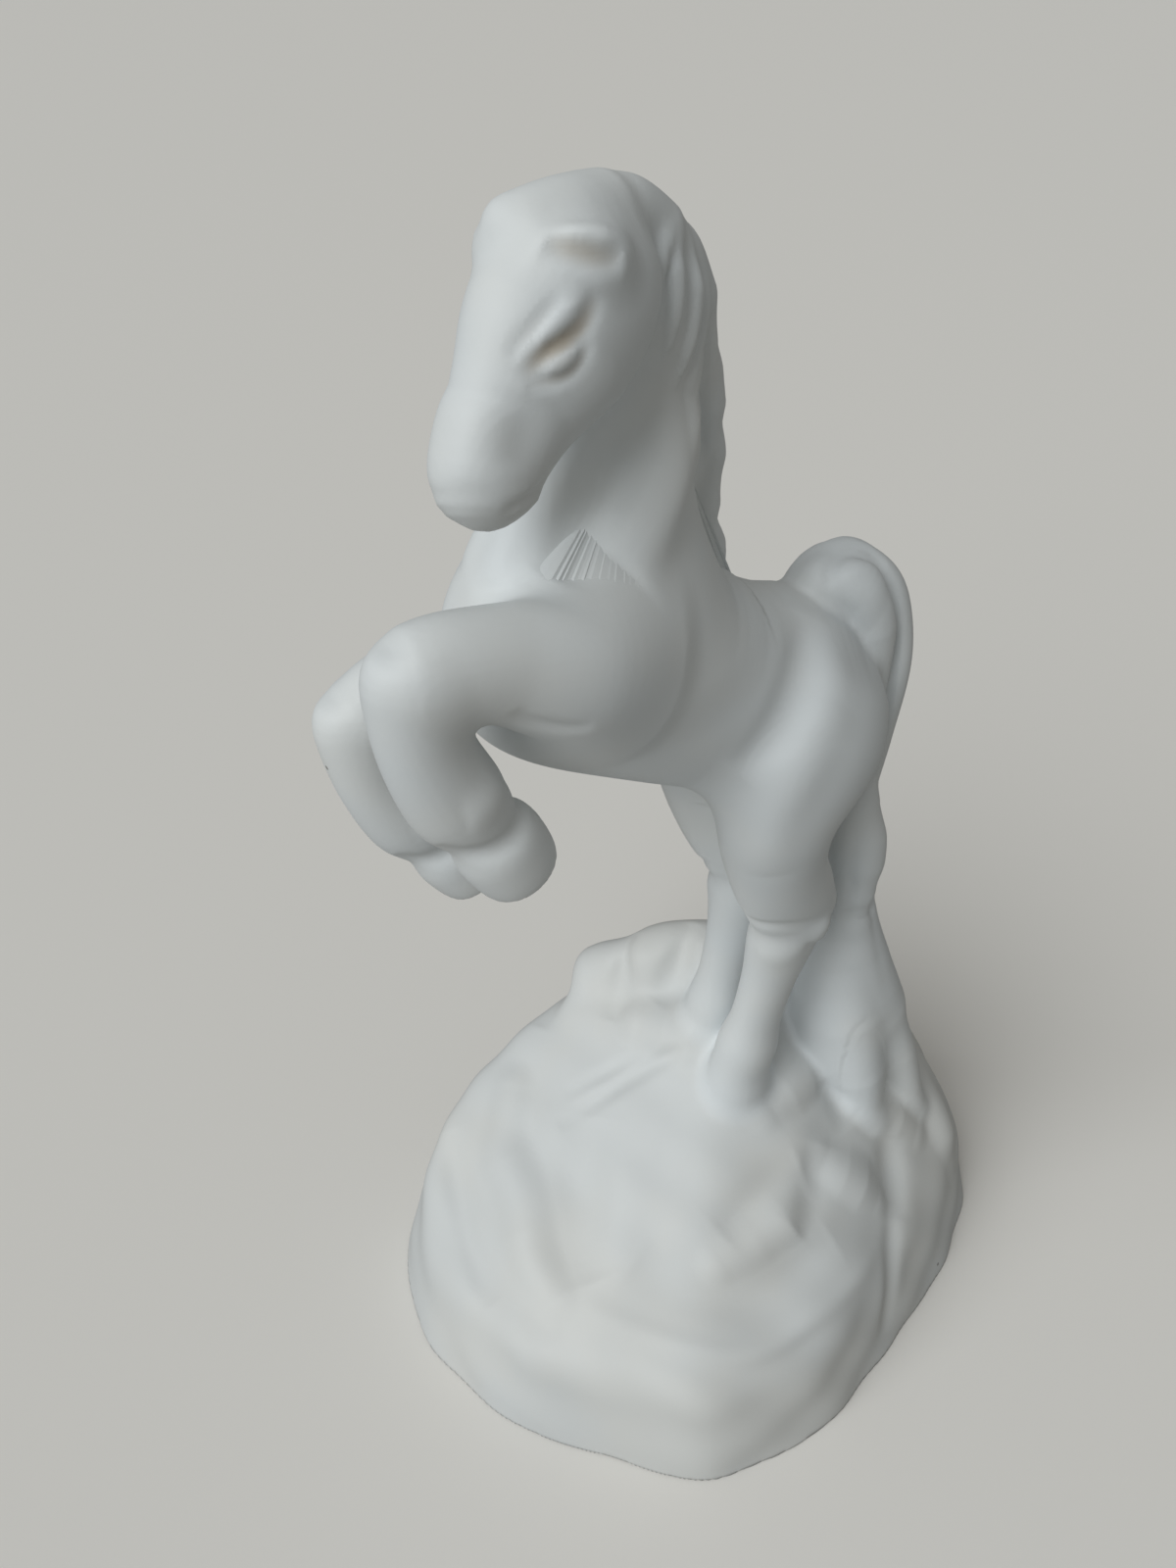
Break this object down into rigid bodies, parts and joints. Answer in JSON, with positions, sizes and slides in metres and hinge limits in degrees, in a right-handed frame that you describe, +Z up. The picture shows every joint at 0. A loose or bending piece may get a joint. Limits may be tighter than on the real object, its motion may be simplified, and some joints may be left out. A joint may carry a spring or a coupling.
{
  "type": "animal figurine",
  "caption": "Small rearing horse-like unicorn figurine in unglazed white porcelain, on a hollow rock base that rests flat on a shelf or table.",
  "frame": {"origin": "middle of the figurine's outline at the level of the rock's flat underside", "axes": "+Z up, the animal faces -Y, its left side is +X"},
  "size_m": [0.0556, 0.0745, 0.1203],
  "materials": {
    "bisque": "unglazed bisque porcelain, matt with a soft sheen"
  },
  "bodies": {
    "root": {"rock_base": "bisque", "trunk": "bisque", "neck": "bisque", "head": "bisque", "left_ear": "bisque", "right_ear": "bisque", "forelock": "bisque", "mane": "bisque", "left_forearm": "bisque", "left_fore_cannon": "bisque", "right_forearm": "bisque", "right_fore_cannon": "bisque", "left_thigh": "bisque", "left_hind_cannon": "bisque", "right_thigh": "bisque", "right_hind_cannon": "bisque", "tail": "bisque"}
  },
  "joints": []
}
